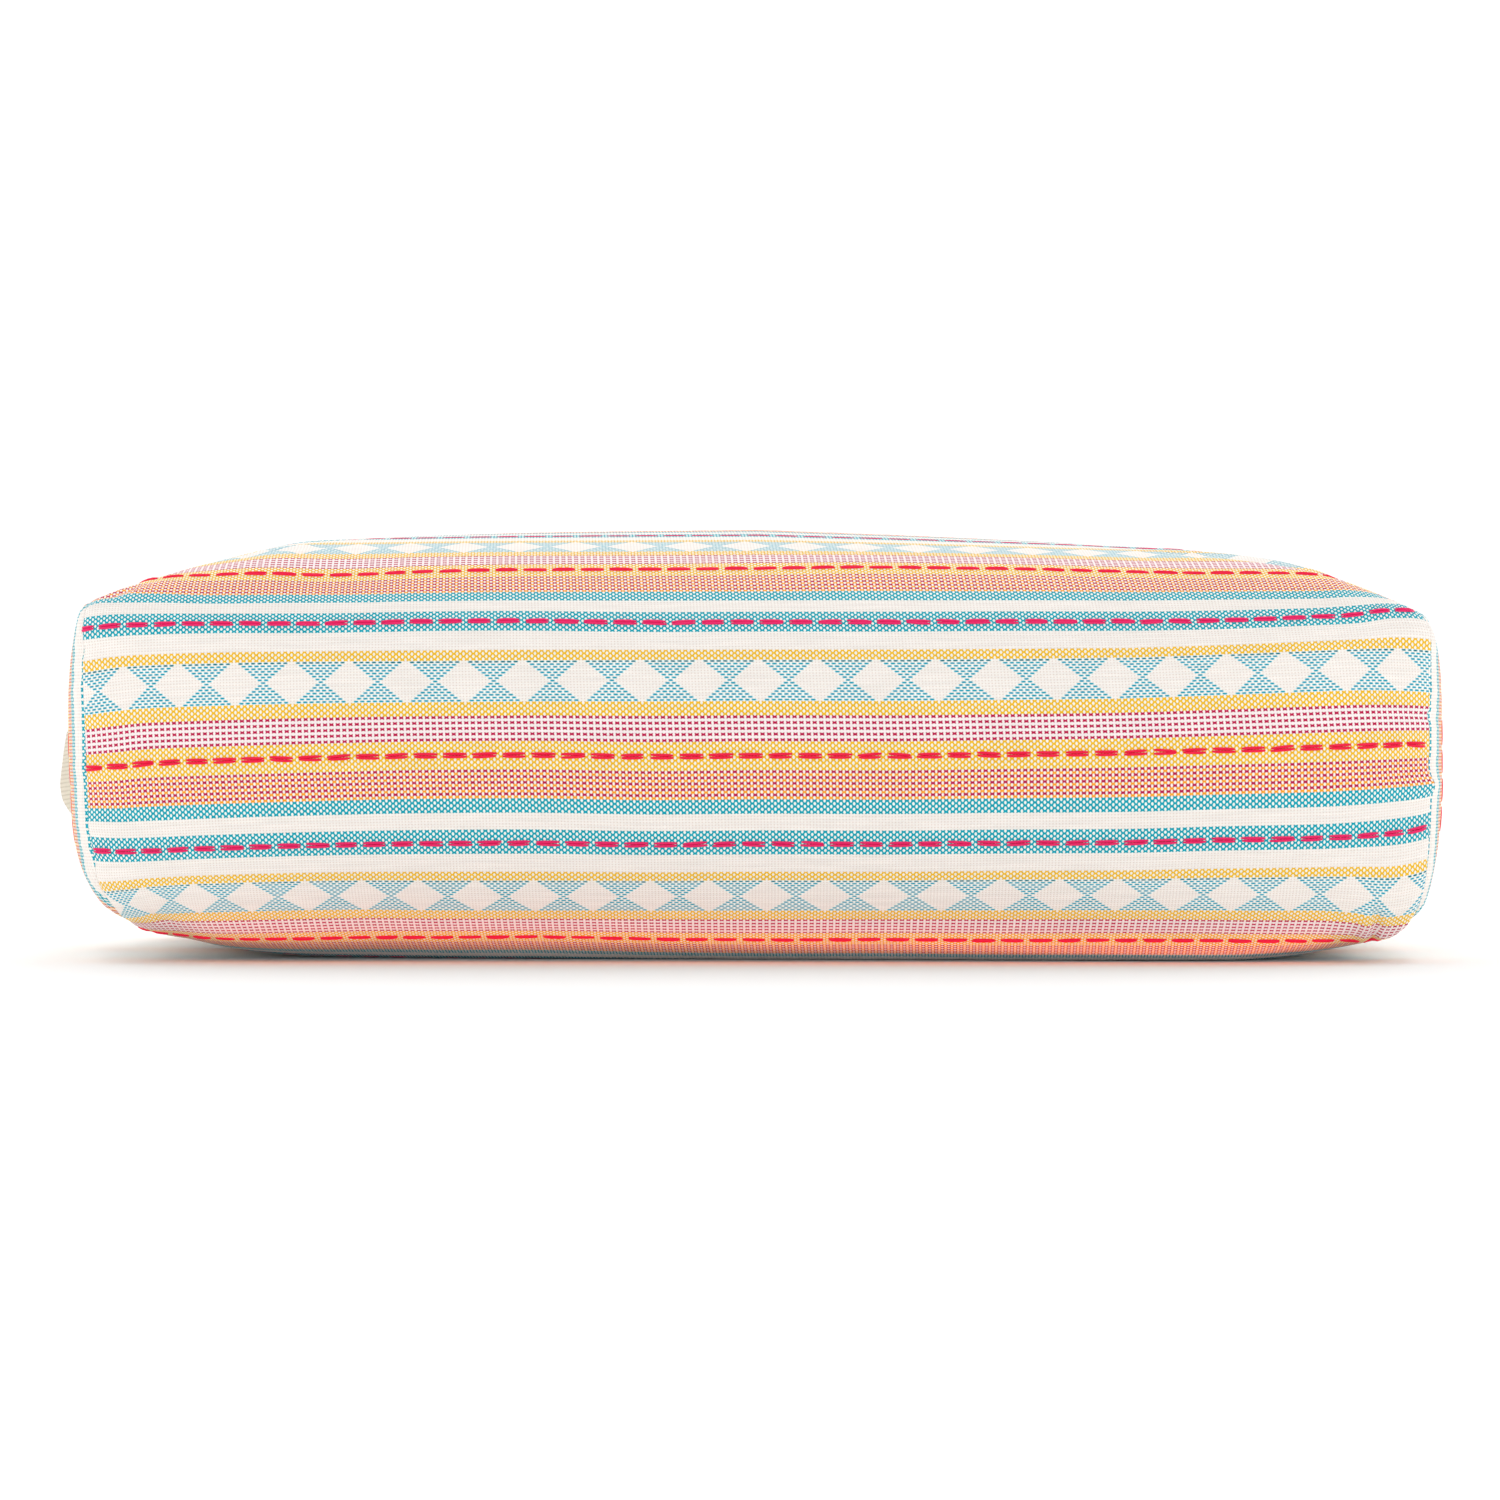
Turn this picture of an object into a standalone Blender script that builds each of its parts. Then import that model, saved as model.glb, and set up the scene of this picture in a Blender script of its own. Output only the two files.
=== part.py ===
# Rectangular yoga bolster: a stuffed cushion of striped cloth with a carry handle on its left end.
# Metres. +X runs along the length, to the right; the long front side faces -Y; +Z is up.
# The origin is the middle of the flat patch on which the bolster rests.

import math

import bmesh
import bpy
import numpy as np

# Driving sizes of the finished cushion
SEAM_TO_SEAM = 0.604        # length between the two end seams at half height
FULLEST_HEIGHT = 0.092      # height at which the front and the back reach out furthest
CLOTH = 0.0022              # thickness of an end panel
STITCH_GAP = 0.0005         # space between the stuffed body and what is sewn to it
BULGE_LEFT = 0.0232         # how far the left end panel domes out at its middle
BULGE_RIGHT = 0.0195

# Shape of the cushion, a row for each section, from the end seam to the middle of the length.
# Heights are above the floor. An underside below zero is pressed flat by the floor.
# Squareness is the exponent of the superellipse: 2 is an ellipse, 6 is nearly a rectangle.
SECTION_COLUMNS = ("from_seam", "crown_left", "crown_right", "half_depth", "underside_left",
                   "underside_right", "top_squareness", "base_squareness_left",
                   "base_squareness_right")
SECTIONS = (
    (0.000, 0.1685, 0.1645, 0.1440, 0.0150, 0.0120, 7.5, 6.5, 7.0),
    (0.005, 0.1720, 0.1685, 0.1478, 0.0125, 0.0085, 6.8, 6.3, 6.8),
    (0.015, 0.1755, 0.1720, 0.1530, 0.0098, 0.0055, 5.6, 5.8, 6.4),
    (0.030, 0.1800, 0.1775, 0.1580, 0.0070, 0.0025, 4.6, 5.0, 5.8),
    (0.055, 0.1880, 0.1855, 0.1640, 0.0020, -0.0015, 3.8, 4.1, 5.0),
    (0.090, 0.1965, 0.1908, 0.1690, -0.0020, -0.0045, 3.1, 3.5, 4.4),
    (0.140, 0.1995, 0.1950, 0.1712, -0.0048, -0.0060, 2.7, 3.1, 3.9),
    (0.210, 0.2017, 0.1992, 0.1720, -0.0062, -0.0068, 2.55, 3.1, 3.5),
    (0.302, 0.2028, 0.2028, 0.1720, -0.0068, -0.0068, 2.47, 3.25, 3.25),
)
STATIONS_PER_HALF = 12      # loft sections between one end seam and the middle
STATION_CROWDING = 1.9      # above 1, the sections lie closer together near the seam
POINTS_ROUND = 56           # points round one section

# The end seams lean: how far each is drawn inwards, by height from its foot (-1) to its top (+1)
SEAM_COLUMNS = ("height", "left", "right")
SEAM_DRAW = (
    (-1.00, 0.0155, 0.0125),
    (-0.83, 0.0060, 0.0035),
    (-0.55, 0.0027, 0.0005),
    (0.00, 0.0005, 0.0007),
    (0.60, -0.0027, 0.0002),
    (1.00, -0.0020, 0.0042),
)
SEAM_DRAW_REACH = 0.11      # the lean fades out over this length of the wrap panel
DOME_DEPTH_POWER = 3.8      # steepness of the end panel's dome near its upright edges
DOME_TOP_POWER = 4.4        # near its top edge
DOME_FOOT_POWER = 2.8       # and near its foot, where it is slacker
DOME_RINGS = (0.96, 0.88, 0.74, 0.54, 0.28)

# Carry handle: a webbing strap across the left end panel
HANDLE_WIDTH = 0.045
HANDLE_THICKNESS = 0.002
HANDLE_HALF_SPAN = 0.058    # from its middle to where it lies down on the panel
HANDLE_TAIL = 0.020         # length that is sewn down at each end
HANDLE_HEIGHT = 0.0835      # height of its sewn ends
HANDLE_DROOP = 0.0015       # how much lower its middle hangs
HANDLE_BOW = 0.0106         # how far its inner face stands off the panel in the middle
HANDLE_CUP = 0.28           # share by which its two long edges curl back to the panel
HANDLE_CUP_CENTRE = -0.10   # the fullest line, from the lower edge (-1) to the upper (+1)
HANDLE_RISE = 0.052         # length over which it leaves the panel
HANDLE_STEPS_LONG = 26
HANDLE_STEPS_WIDE = 6

# Average colours of the striped cloth and of the webbing
WRAP_COLOUR = (0.83, 0.62, 0.52)
END_COLOUR = (0.86, 0.70, 0.60)
WEBBING_COLOUR = (0.88, 0.84, 0.76)
CLOTH_ROUGHNESS = 0.9

TINY = 1e-6                 # keeps a division at the middle of an end panel away from zero


def clear_scene():
    for item in list(bpy.data.objects):
        bpy.data.objects.remove(item, do_unlink=True)


def new_material(name, colour, roughness):
    material = bpy.data.materials.new(name)
    material.use_nodes = True
    shader = material.node_tree.nodes["Principled BSDF"]
    shader.inputs["Base Color"].default_value = (*colour, 1.0)
    shader.inputs["Roughness"].default_value = roughness
    shader.inputs["Metallic"].default_value = 0.0
    return material


def new_object(name, bm, collection, material):
    mesh = bpy.data.meshes.new(name)
    bm.to_mesh(mesh)
    bm.free()
    mesh.shade_smooth()
    item = bpy.data.objects.new(name, mesh)
    item.data.materials.append(material)
    collection.objects.link(item)
    return item


def smooth_between(x, xs, ys):
    """Value at x of a smooth curve through the points (xs, ys) that doesn't overshoot them."""
    xs = np.asarray(xs, dtype=float)
    ys = np.asarray(ys, dtype=float)
    steps = np.diff(ys) / np.diff(xs)
    slopes = np.concatenate(([steps[0]], np.zeros(len(xs) - 2), [steps[-1]]))
    same_way = steps[:-1] * steps[1:] > 0.0
    product = np.where(same_way, 2.0 * steps[:-1] * steps[1:], 0.0)
    total = np.where(same_way, steps[:-1] + steps[1:], 1.0)
    slopes[1:-1] = product / total
    x = np.clip(x, xs[0], xs[-1])
    i = np.clip(np.searchsorted(xs, x, side="right") - 1, 0, len(xs) - 2)
    width = xs[i + 1] - xs[i]
    t = (x - xs[i]) / width
    start = (1.0 + 2.0 * t) * (1.0 - t) ** 2 * ys[i] + t * (1.0 - t) ** 2 * width * slopes[i]
    end = t * t * (3.0 - 2.0 * t) * ys[i + 1] + t * t * (t - 1.0) * width * slopes[i + 1]
    return start + end


def section_value(column, from_seam):
    distances = [row[0] for row in SECTIONS]
    values = [row[SECTION_COLUMNS.index(column)] for row in SECTIONS]
    return float(smooth_between(from_seam, distances, values))


def seam_draw(side, height):
    """How far the seam of that side is drawn inwards at a height from -1 to +1."""
    heights = [row[0] for row in SEAM_DRAW]
    values = [row[SEAM_COLUMNS.index(side)] for row in SEAM_DRAW]
    return smooth_between(height, heights, values)


def section_outline(side, from_seam):
    """Outline of one section: arrays of y, z and of height from -1 (underside) to +1 (crown)."""
    crown = section_value("crown_" + side, from_seam) - FULLEST_HEIGHT
    base = FULLEST_HEIGHT - section_value("underside_" + side, from_seam)
    half_depth = section_value("half_depth", from_seam)
    angle = np.arange(POINTS_ROUND) * 2.0 * math.pi / POINTS_ROUND
    across = np.cos(angle)
    up = np.sin(angle)
    squareness = np.where(up >= 0.0, section_value("top_squareness", from_seam),
                          section_value("base_squareness_" + side, from_seam))
    radius = (np.abs(across) ** squareness + np.abs(up) ** squareness) ** (-1.0 / squareness)
    y = half_depth * radius * across
    height = radius * up
    z = FULLEST_HEIGHT + np.where(up >= 0.0, crown, base) * height
    return y, np.maximum(z, 0.0), height


def wrap_ring(side, from_seam):
    """One loft section of the wrap panel as points, leaning with the seam where it is near it."""
    y, z, height = section_outline(side, from_seam)
    fade = max(0.0, 1.0 - from_seam / SEAM_DRAW_REACH) ** 2
    x = SEAM_TO_SEAM / 2.0 - from_seam - seam_draw(side, height) * fade
    x = -x if side == "left" else x
    return np.column_stack((x, y, z))


def dome_reach(side, y, z):
    """Distance from the middle of the length to the outside of an end panel at the place (y, z)."""
    crown = section_value("crown_" + side, 0.0) - FULLEST_HEIGHT
    base = FULLEST_HEIGHT - section_value("underside_" + side, 0.0)
    squareness = np.where(z >= FULLEST_HEIGHT, section_value("top_squareness", 0.0),
                          section_value("base_squareness_" + side, 0.0))
    across = np.abs(y) / section_value("half_depth", 0.0)
    height = (z - FULLEST_HEIGHT) / np.where(z >= FULLEST_HEIGHT, crown, base)
    ring = (across ** squareness + np.abs(height) ** squareness) ** (1.0 / squareness)
    ring = np.maximum(ring, TINY)
    bulge = BULGE_LEFT if side == "left" else BULGE_RIGHT
    height_power = np.where(z >= FULLEST_HEIGHT, DOME_TOP_POWER, DOME_FOOT_POWER)
    dome = 1.0 - np.minimum(across, 1.0) ** DOME_DEPTH_POWER
    dome = dome * (1.0 - np.minimum(np.abs(height), 1.0) ** height_power)
    lean = seam_draw(side, height / ring) * ring ** 4
    return SEAM_TO_SEAM / 2.0 - lean + bulge * dome


def dome_rings(side):
    """Rings of points over the outside of an end panel, from its seam to its middle point."""
    y, z, _ = section_outline(side, 0.0)
    rings = []
    for share in (1.0, *DOME_RINGS, 0.0):
        ring_y = y * share
        ring_z = FULLEST_HEIGHT + (z - FULLEST_HEIGHT) * share
        x = dome_reach(side, ring_y, ring_z)
        x = -x if side == "left" else x
        rings.append(np.column_stack((x, ring_y, ring_z)))
    rings[-1] = rings[-1][:1]
    return rings


def bridge(bm, ring, following):
    """Faces between two rings of vertices; a ring of one vertex is a pole."""
    count = max(len(ring), len(following))
    for i in range(count):
        j = (i + 1) % count
        if len(following) == 1:
            bm.faces.new((ring[i], ring[j], following[0]))
        elif len(ring) == 1:
            bm.faces.new((ring[0], following[j], following[i]))
        else:
            bm.faces.new((ring[i], ring[j], following[j], following[i]))


def loft(rings):
    bm = bmesh.new()
    made = [[bm.verts.new(point) for point in ring] for ring in rings]
    for ring, following in zip(made, made[1:]):
        bridge(bm, ring, following)
    return bm, made


def open_dome(side):
    """The outside of an end panel as an open mesh whose faces point away from the cushion."""
    rings = dome_rings(side)
    bm, made = loft(rings)
    bm.normal_update()
    middle = made[-1][0]
    outwards = -1.0 if side == "left" else 1.0
    if middle.normal.x * outwards < 0.0:
        bmesh.ops.reverse_faces(bm, faces=bm.faces)
        bm.normal_update()
    return bm, made


def body_end(side):
    """Rings of the stuffed body's end: the end panel's dome, moved inwards past the cloth."""
    bm, made = open_dome(side)
    inset = CLOTH + STITCH_GAP
    rings = [np.array([tuple(v.co - v.normal * inset) for v in ring]) for ring in made]
    bm.free()
    return rings


def wrap_stations(side):
    """Loft sections of one half of the wrap panel, from near the seam to next to the middle."""
    shares = (np.arange(STATIONS_PER_HALF) + 1.0) / (STATIONS_PER_HALF + 1.0)
    first = 2.0 * (CLOTH + STITCH_GAP)
    distances = first + (SEAM_TO_SEAM / 2.0 - first) * shares ** STATION_CROWDING
    distances = np.concatenate(([first], distances))
    return [wrap_ring(side, float(distance)) for distance in distances]


def make_body(collection):
    """The wrap panel with its stuffing: one filled solid, lofted from end to end."""
    left = body_end("left")[::-1] + wrap_stations("left")
    middle = [wrap_ring("right", SEAM_TO_SEAM / 2.0)]
    right = wrap_stations("right")[::-1] + body_end("right")
    bm, _ = loft(left + middle + right)
    bmesh.ops.recalc_face_normals(bm, faces=bm.faces)
    material = new_material("striped cloth", WRAP_COLOUR, CLOTH_ROUGHNESS)
    return new_object("bolster_body", bm, collection, material)


def make_end_panel(side, collection):
    """An end panel: a sheet of cloth, domed outwards and sewn in all round."""
    bm, _ = open_dome(side)
    material = new_material("striped cloth, " + side + " end", END_COLOUR, CLOTH_ROUGHNESS)
    panel = new_object("end_panel_" + side, bm, collection, material)
    sheet = panel.modifiers.new("cloth thickness", "SOLIDIFY")
    sheet.thickness = CLOTH
    sheet.offset = -1.0
    return panel


def make_handle(collection):
    """The carry handle: a strap that lies on the panel at both ends and bows off it between them."""
    long = np.linspace(-1.0, 1.0, HANDLE_STEPS_LONG + 1) * (HANDLE_HALF_SPAN + HANDLE_TAIL)
    wide = np.linspace(-1.0, 1.0, HANDLE_STEPS_WIDE + 1)
    y, w = np.meshgrid(long, wide, indexing="ij")
    rise = np.clip((HANDLE_HALF_SPAN - np.abs(y)) / HANDLE_RISE, 0.0, 1.0)
    rise = rise * rise * (3.0 - 2.0 * rise)
    z = HANDLE_HEIGHT - HANDLE_DROOP * rise + w * HANDLE_WIDTH / 2.0
    bow = HANDLE_BOW * rise * (1.0 - HANDLE_CUP * (w - HANDLE_CUP_CENTRE) ** 2)
    x = -(dome_reach("left", y, z) + STITCH_GAP + bow)
    bm = bmesh.new()
    grid = [[bm.verts.new(tuple(point)) for point in line] for line in np.stack((x, y, z), axis=-1)]
    for line, following in zip(grid, grid[1:]):
        for a, b, c, d in zip(line, line[1:], following[1:], following):
            bm.faces.new((a, b, c, d))
    bm.normal_update()
    bm.faces.ensure_lookup_table()
    if bm.faces[0].normal.x > 0.0:
        bmesh.ops.reverse_faces(bm, faces=bm.faces)
    material = new_material("cream webbing", WEBBING_COLOUR, CLOTH_ROUGHNESS)
    handle = new_object("carry_handle", bm, collection, material)
    strap = handle.modifiers.new("strap thickness", "SOLIDIFY")
    strap.thickness = HANDLE_THICKNESS
    strap.offset = 1.0
    return handle


def main():
    clear_scene()
    collection = bpy.data.collections.new("yoga bolster")
    bpy.context.scene.collection.children.link(collection)
    make_body(collection)
    make_end_panel("left", collection)
    make_end_panel("right", collection)
    make_handle(collection)


main()
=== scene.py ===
import math

import bpy
import numpy as np
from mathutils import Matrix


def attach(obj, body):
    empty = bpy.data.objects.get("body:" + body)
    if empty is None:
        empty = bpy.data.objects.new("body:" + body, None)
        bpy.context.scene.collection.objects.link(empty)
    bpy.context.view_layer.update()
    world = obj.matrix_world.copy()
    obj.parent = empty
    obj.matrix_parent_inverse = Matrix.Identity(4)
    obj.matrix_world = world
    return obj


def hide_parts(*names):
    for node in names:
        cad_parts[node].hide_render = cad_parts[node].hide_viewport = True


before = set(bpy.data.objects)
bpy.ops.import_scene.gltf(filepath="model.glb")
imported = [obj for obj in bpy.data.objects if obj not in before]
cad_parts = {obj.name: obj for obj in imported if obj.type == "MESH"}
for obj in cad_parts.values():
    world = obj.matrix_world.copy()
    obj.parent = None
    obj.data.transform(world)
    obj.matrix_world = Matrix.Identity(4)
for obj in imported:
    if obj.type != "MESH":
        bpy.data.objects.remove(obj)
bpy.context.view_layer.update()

# Yoga bolster: striped cushion, domed end panels, carry handle on the left end
# Metres, +X along the length, the long front faces -Y, +Z up, the floor is at zero


# Values at x of a smooth curve through the points (xs, ys) that doesn't overshoot them:
# a cubic between neighbours, whose slope at a point is the harmonic mean of the two steps
def smoothBetween(x, xs, ys):
    xs = np.asarray(xs, dtype=float)
    ys = np.asarray(ys, dtype=float)
    steps = np.diff(ys) / np.diff(xs)
    sameWay = steps[:-1] * steps[1:] > 0.0
    product = np.where(sameWay, 2.0 * steps[:-1] * steps[1:], 0.0)
    total = np.where(sameWay, steps[:-1] + steps[1:], 1.0)
    slopes = np.concatenate(([steps[0]], product / total, [steps[-1]]))
    x = np.clip(x, xs[0], xs[-1])
    i = np.clip(np.searchsorted(xs, x, side="right") - 1, 0, len(xs) - 2)
    width = xs[i + 1] - xs[i]
    t = (x - xs[i]) / width
    start = (1.0 + 2.0 * t) * (1.0 - t) ** 2 * ys[i] + t * (1.0 - t) ** 2 * width * slopes[i]
    end = t * t * (3.0 - 2.0 * t) * ys[i + 1] + t * t * (t - 1.0) * width * slopes[i + 1]
    return start + end


# One column of a table at x, smooth between its rows, whose first column says where they are
def tableValue(table, x, column=1):
    table = np.array(table, dtype=float)
    return smoothBetween(x, table[:, 0], table[:, column])


# The same from a table with one column for the left side and the next for the right
def sidedValue(table, x, side, column=1):
    return np.where(side < 0.0, tableValue(table, x, column), tableValue(table, x, column + 1))


# 0 below the first edge, 1 above the second, an S between them
def softStep(x, low, high):
    t = np.clip((x - low) / (high - low), 0.0, 1.0)
    return t * t * (3.0 - 2.0 * t)


# A colour picker's values, 0 to 255, as linear ones
def linear(red, green, blue):
    shares = [value / 255.0 for value in (red, green, blue)]
    return (*(((s + 0.055) / 1.055) ** 2.4 if s > 0.0404 else s / 12.92 for s in shares), 1.0)


# A new object in the scene, for a mesh, a light or a camera
def addObject(name, data):
    item = bpy.data.objects.new(name, data)
    bpy.context.scene.collection.objects.link(item)
    return item


# Repeats the first column of a grid after its last one
def closeRound(grid):
    return np.concatenate((grid, grid[:, :1]), axis=1)


# Four-cornered faces between the neighbours in a grid of vertex numbers
def gridQuads(index):
    corners = (index[:-1, :-1], index[:-1, 1:], index[1:, 1:], index[1:, :-1])
    return np.stack(corners, axis=-1).reshape(-1, 4)


# Vectors of length one with the same directions
def unit(vectors):
    return vectors / np.maximum(np.linalg.norm(vectors, axis=-1, keepdims=True), 1e-12)


# Outward normals of the wrap panel's grid (rows, columns, xyz): the cross product of its direction
# down the cloth and its direction along it
def gridNormals(points, closedRound=False):
    if closedRound:
        wide = np.concatenate((points[:, -1:], points, points[:, :1]), axis=1)
        down = (wide[:, 2:] - wide[:, :-2]) / 2.0
    else:
        down = np.gradient(points, axis=1)
    return unit(np.cross(down, np.gradient(points, axis=0)))


# Puts a grid of points into a mesh. With closedRound the last column joins the first one.
# startPole and endPole are single points that close the two ends. uv has one column more than
# the points where the grid is closed round.
def gridPiece(name, points, uv, closedRound=False, startPole=None, endPole=None, flip=False):
    index = np.arange(points.shape[0] * points.shape[1]).reshape(points.shape[:2])
    index = closeRound(index) if closedRound else index
    uvIndex = np.arange(uv.shape[0] * uv.shape[1]).reshape(uv.shape[:2])
    vertices = points.reshape(-1, 3)
    faces, uvFaces = [gridQuads(index)], [gridQuads(uvIndex)]
    for pole, row, order in ((startPole, 0, -1), (endPole, -1, 1)):
        if pole is not None:
            pairs, uvPairs = (np.stack((ring[:-1], ring[1:]), axis=1)[:, ::order]
                              for ring in (index[row], uvIndex[row]))
            faces.append(np.insert(pairs, 2, len(vertices), axis=1))
            uvFaces.append(uvPairs[:, [0, 1, 0]])
            vertices = np.concatenate((vertices, [pole]))
    turn = -1 if flip else 1
    mesh = bpy.data.meshes.new(name)
    mesh.from_pydata(vertices.tolist(), [], [face for part in faces for face in part[:, ::turn].tolist()])
    corners = np.concatenate([part[:, ::turn].ravel() for part in uvFaces])
    layer = mesh.uv_layers.new(name="threads")
    layer.data.foreach_set("uv", uv.reshape(-1, 2)[corners].astype(np.float32).ravel())
    mesh.shade_smooth()
    mesh.update()
    return addObject(name, mesh)


# Gives a sheet its thickness, to one side of its surface
def thicken(item, label, thickness, offset):
    solid = item.modifiers.new(label, "SOLIDIFY")
    solid.thickness = thickness
    solid.offset = offset


def ride(item):
    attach(item, "root")


# The cushion: a wrap panel round the stuffing, shaped like its solid in the frame
cushion = {
    "seamToSeam": 0.604,
    "fullestHeight": 0.092,
    "sections": (  # from the seam to the middle of the length, with the columns that sectionColumns names
        (0.000, 0.1652, 0.1610, 0.1455, 0.0150, 0.0120, 16.0, 16.0, 6.3, 7.5),
        (0.005, 0.1668, 0.1622, 0.1490, 0.0125, 0.0085, 14.0, 16.0, 6.2, 6.8),
        (0.015, 0.1714, 0.1666, 0.1535, 0.0100, 0.0060, 10.5, 12.0, 5.7, 6.2),
        (0.030, 0.1772, 0.1733, 0.1580, 0.0073, 0.0032, 7.6, 8.4, 4.9, 5.6),
        (0.055, 0.1860, 0.1833, 0.1640, 0.0020, -0.0010, 5.0, 5.3, 4.1, 4.9),
        (0.090, 0.1955, 0.1902, 0.1690, -0.0020, -0.0045, 3.6, 3.8, 3.5, 4.4),
        (0.140, 0.1992, 0.1950, 0.1712, -0.0048, -0.0060, 2.9, 2.9, 3.1, 3.9),
        (0.210, 0.2015, 0.1990, 0.1720, -0.0062, -0.0068, 2.6, 2.6, 3.1, 3.5),
        (0.302, 0.2028, 0.2028, 0.1720, -0.0068, -0.0068, 2.47, 2.47, 3.25, 3.25),
    ),
    "seamDraw": (  # how far the end seams lean inwards, from the foot (-1) to the top (+1): left, right
        (-1.00, 0.0155, 0.0125),
        (-0.87, 0.0084, 0.0040),
        (-0.73, 0.0036, 0.0014),
        (-0.55, 0.0012, 0.0000),
        (-0.20, -0.0010, -0.0010),
        (0.10, -0.0019, -0.0007),
        (0.55, -0.0031, -0.0011),
        (0.80, -0.0031, -0.0014),
        (1.00, -0.0020, 0.0024),
    ),
    "drawReach": 0.11,
    "seamKinks": (  # side, height, step of the seam outwards there, and share of the height that it takes
        (-1, -0.58, -0.0007, 0.05),
        (-1, -0.38, 0.0007, 0.07),
        (-1, 0.68, -0.0008, 0.04),
        (1, 0.285, -0.0013, 0.035),
        (1, -0.03, -0.0007, 0.05),
        (1, -0.14, 0.0022, 0.045),
    ),
    "kinkReach": 0.012,
    "folds": (  # from a place along and down the cloth to another, how far it stands out, half width, mm
        (280.0, 71.0, 286.0, 95.0, -1.7, 2.4),
        (274.5, 74.0, 280.5, 97.0, 0.9, 3.0),
        (290.0, 91.0, 300.0, 84.0, 2.0, 7.0),
        (-299.0, -70.0, -294.0, -74.0, 1.0, 4.0),
        (-290.0, -78.0, -280.0, -92.0, -0.8, 3.5),
        (262.0, -60.0, 290.0, -66.0, -0.7, 5.0),
        (-292.0, 62.0, -272.0, 82.0, -0.8, 4.0),
        (-297.0, 20.0, -278.0, 30.0, -0.5, 4.0),
        (296.0, 22.0, 276.0, 33.0, -0.6, 4.0),
        (296.0, -22.0, 280.0, -30.0, -0.4, 4.0),
    ),
    "stations": 281,
    "crowding": 0.42,  # gathers the stations towards the seams, 0 leaves them even
    "columns": 318,
    "joinAngle": 135.0,  # where the wrap panel is joined, degrees down from the front's fullest line
    "joinDip": (0.0014, 0.0022),  # depth and reach of the groove there
    "outlineSteps": 1441,  # of a section, before it is divided evenly
    "seamDip": (0.0009, 0.0016),  # how deep the cloth turns in at a seam, and over what reach
    "seamPucker": (0.0009, 0.014),  # height of the ripples along a seam, and their reach
    "flatAtSeam": 0.002,  # over which puckers and folds begin
    "waves": (  # of the ripples: how many round the seam, size, phase
        (31, 0.9, 0.3), (47, 1.0, 2.1), (68, 0.8, 4.0), (89, 0.6, 1.2), (113, 0.4, 5.1),
    ),
    "waveShift": 1.7,  # half the phase between the left seam's ripples and the right one's
    "edgeReach": 0.004,  # over which an end panel follows the wrap's edge
    "capInset": 0.0040,  # the hidden ends of the cushion lie this far behind the end panels
    "capRings": (0.965, 0.90, 0.76, 0.56, 0.30, 0.0),  # their rings, as shares of the seam's outline
}
halfLength = cushion["seamToSeam"] / 2.0
fullest = cushion["fullestHeight"]
sectionColumns = ("fromSeam", "crownLeft", "crownRight", "halfDepth", "undersideLeft", "undersideRight",
                  "topSquarenessLeft", "topSquarenessRight", "baseSquarenessLeft", "baseSquarenessRight")

# Course of the cloth. Rows are places along the length, mm. The other columns say how far down the
# cloth from the front's fullest line eight of its lines run there, mm.
stripeCourse = (
    (-302, -104.0, -73.5, -59.2, -39.3, 4.0, 41.0, 83.5, 101.0),
    (-287, -105.5, -75.0, -60.3, -41.4, 3.0, 41.3, 79.8, 101.0),
    (-276, -98.5, -74.5, -60.7, -42.2, 1.8, 41.0, 77.6, 101.0),
    (-250, -92.8, -74.0, -61.3, -43.0, 0.7, 39.8, 75.8, 99.7),
    (-205, -92.5, -75.8, -62.0, -43.9, -0.6, 38.4, 75.4, 97.6),
    (-150, -99.4, -79.5, -64.6, -44.6, -1.9, 37.5, 76.2, 96.7),
    (-105, -102.7, -81.3, -65.6, -45.2, -2.2, 37.2, 76.0, 94.8),
    (-48, -104.0, -82.0, -65.1, -45.6, -1.5, 37.9, 75.6, 95.9),
    (5, -105.7, -82.6, -65.7, -45.8, -1.9, 37.5, 74.8, 95.2),
    (55, -107.8, -83.0, -65.6, -45.8, -1.8, 37.6, 74.1, 93.3),
    (105, -107.4, -82.9, -65.8, -46.0, -2.4, 37.1, 73.3, 92.6),
    (160, -104.0, -81.7, -65.0, -46.3, -3.1, 36.8, 72.2, 90.4),
    (210, -97.6, -78.6, -63.8, -47.4, -4.4, 35.6, 71.6, 89.1),
    (250, -96.5, -77.0, -64.6, -48.9, -5.6, 35.0, 71.7, 90.5),
    (268, -102.5, -78.5, -65.8, -49.7, -6.2, 34.2, 73.2, 92.5),
    (285, -104.5, -80.0, -68.8, -50.1, -6.7, 33.0, 76.3, 97.0),
    (302, -108.0, -88.0, -70.0, -49.7, -7.1, 31.0, 74.0, 95.5),
)
dashPlaces = (  # place along the length, mm, and number of the dash along the fullest line there
    (-302.0, -18.28), (-299.0, -18), (-251.2, -14), (-186.7, -9), (-108.7, -3), (-29.7, 3), (49.3, 9),
    (128.4, 15), (206.9, 21), (272.8, 26), (295.5, 28), (302.0, 28.6),
)
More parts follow.
